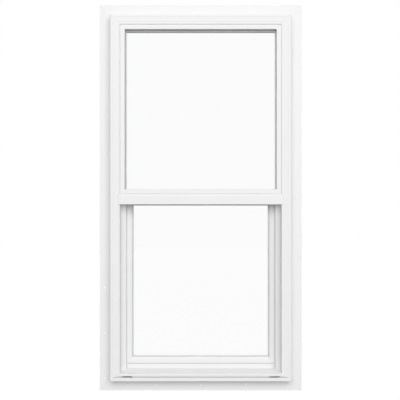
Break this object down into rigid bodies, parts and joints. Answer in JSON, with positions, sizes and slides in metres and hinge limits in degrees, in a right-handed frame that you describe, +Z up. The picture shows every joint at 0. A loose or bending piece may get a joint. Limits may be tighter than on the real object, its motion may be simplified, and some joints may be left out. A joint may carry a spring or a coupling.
{
  "type": "sash window",
  "caption": "White vinyl single-hung sash window with insulated glass, a sliding lower sash, a check-rail lock and an integral nailing fin.",
  "frame": {"origin": "middle of the window on the back plane of the nailing fin", "axes": "+X right as seen from outdoors, +Y indoors, +Z up"},
  "size_m": [0.671, 0.093, 1.28],
  "materials": {
    "white_vinyl": "satin extruded vinyl",
    "clear_glass": "clear float glass",
    "grey_gasket": "soft dark grey vinyl",
    "black_sealant": "matt polysulphide",
    "glazing_tape": "light grey foam tape",
    "black_rubber": "matt",
    "grey_pile": "woven pile",
    "spacer_bar": "mill finish, perforated on its inner face",
    "mill_aluminium": "mill finish",
    "plated_steel": "zinc plated",
    "spring_steel": "rolled spring strip",
    "white_enamel": "baked white enamel on a zinc casting",
    "white_nylon": "moulded",
    "grey_nylon": "moulded"
  },
  "bodies": {
    "frame": {"frame_head": "white_vinyl", "frame_sill": "white_vinyl", "frame_jamb_left": "white_vinyl", "frame_jamb_right": "white_vinyl", "meeting_rail": "white_vinyl", "meeting_rail_stiffener": "mill_aluminium", "meeting_rail_screws": "plated_steel", "meeting_rail_pile": "grey_pile", "lock_keeper": "white_enamel", "keeper_screws": "plated_steel", "upper_outer_pane": "clear_glass", "upper_inner_pane": "clear_glass", "upper_spacer": "spacer_bar", "upper_edge_sealant": "black_sealant", "upper_glazing_tape": "glazing_tape", "upper_bead_gasket": "grey_gasket", "upper_setting_blocks": "black_rubber", "upper_bead_top": "white_vinyl", "upper_bead_bottom": "white_vinyl", "upper_bead_left": "white_vinyl", "upper_bead_right": "white_vinyl", "coil_housing_left": "grey_nylon", "coil_housing_right": "grey_nylon", "coil_screws": "plated_steel", "spring_ribbon_left": "spring_steel", "spring_ribbon_right": "spring_steel", "sash_stops": "white_nylon"},
    "sash": {"sash_top_rail": "white_vinyl", "sash_bottom_rail": "white_vinyl", "sash_stile_left": "white_vinyl", "sash_stile_right": "white_vinyl", "check_rail_stiffener": "plated_steel", "lower_outer_pane": "clear_glass", "lower_inner_pane": "clear_glass", "lower_spacer": "spacer_bar", "lower_edge_sealant": "black_sealant", "lower_glazing_tape": "glazing_tape", "lower_setting_blocks": "black_rubber", "lower_bead_top": "white_vinyl", "lower_bead_bottom": "white_vinyl", "lower_bead_left": "white_vinyl", "lower_bead_right": "white_vinyl", "stile_pile_front_left": "grey_pile", "stile_pile_front_right": "grey_pile", "stile_pile_rear_left": "grey_pile", "stile_pile_rear_right": "grey_pile", "sill_bulb_seal": "grey_gasket", "lock_base": "white_enamel", "lock_screws": "plated_steel", "balance_bracket_left": "plated_steel", "balance_bracket_right": "plated_steel", "bracket_screws": "plated_steel"},
    "lock": {"lock_cam": "plated_steel", "lock_lever": "white_enamel"},
    "coil_left": {"coil_spring_left": "spring_steel"},
    "coil_right": {"coil_spring_right": "spring_steel"}
  },
  "joints": [
    {"name": "sash_slide", "type": "slide", "parent": "frame", "child": "sash", "axis": [0, 0, 1], "range_m": [0, 0.5], "deforming": ["spring_ribbon_left", "spring_ribbon_right"]},
    {"name": "lock_turn", "type": "hinge", "parent": "sash", "child": "lock", "pos_m": [0, 0.02, 0.013], "axis": [0, 0, -1], "range_deg": [0, 180]},
    {"name": "coil_left_turn", "type": "hinge", "parent": "frame", "child": "coil_left", "pos_m": [-0.278, 0.027, 0.002], "axis": [0, -1, 0], "range_deg": [0, 2300]},
    {"name": "coil_right_turn", "type": "hinge", "parent": "frame", "child": "coil_right", "pos_m": [0.278, 0.027, 0.002], "axis": [0, 1, 0], "range_deg": [0, 2300]}
  ],
  "couplings": [
    {"joint": "coil_left_turn", "follows": "sash_slide", "rad_per_m": 80},
    {"joint": "coil_right_turn", "follows": "sash_slide", "rad_per_m": 80}
  ]
}
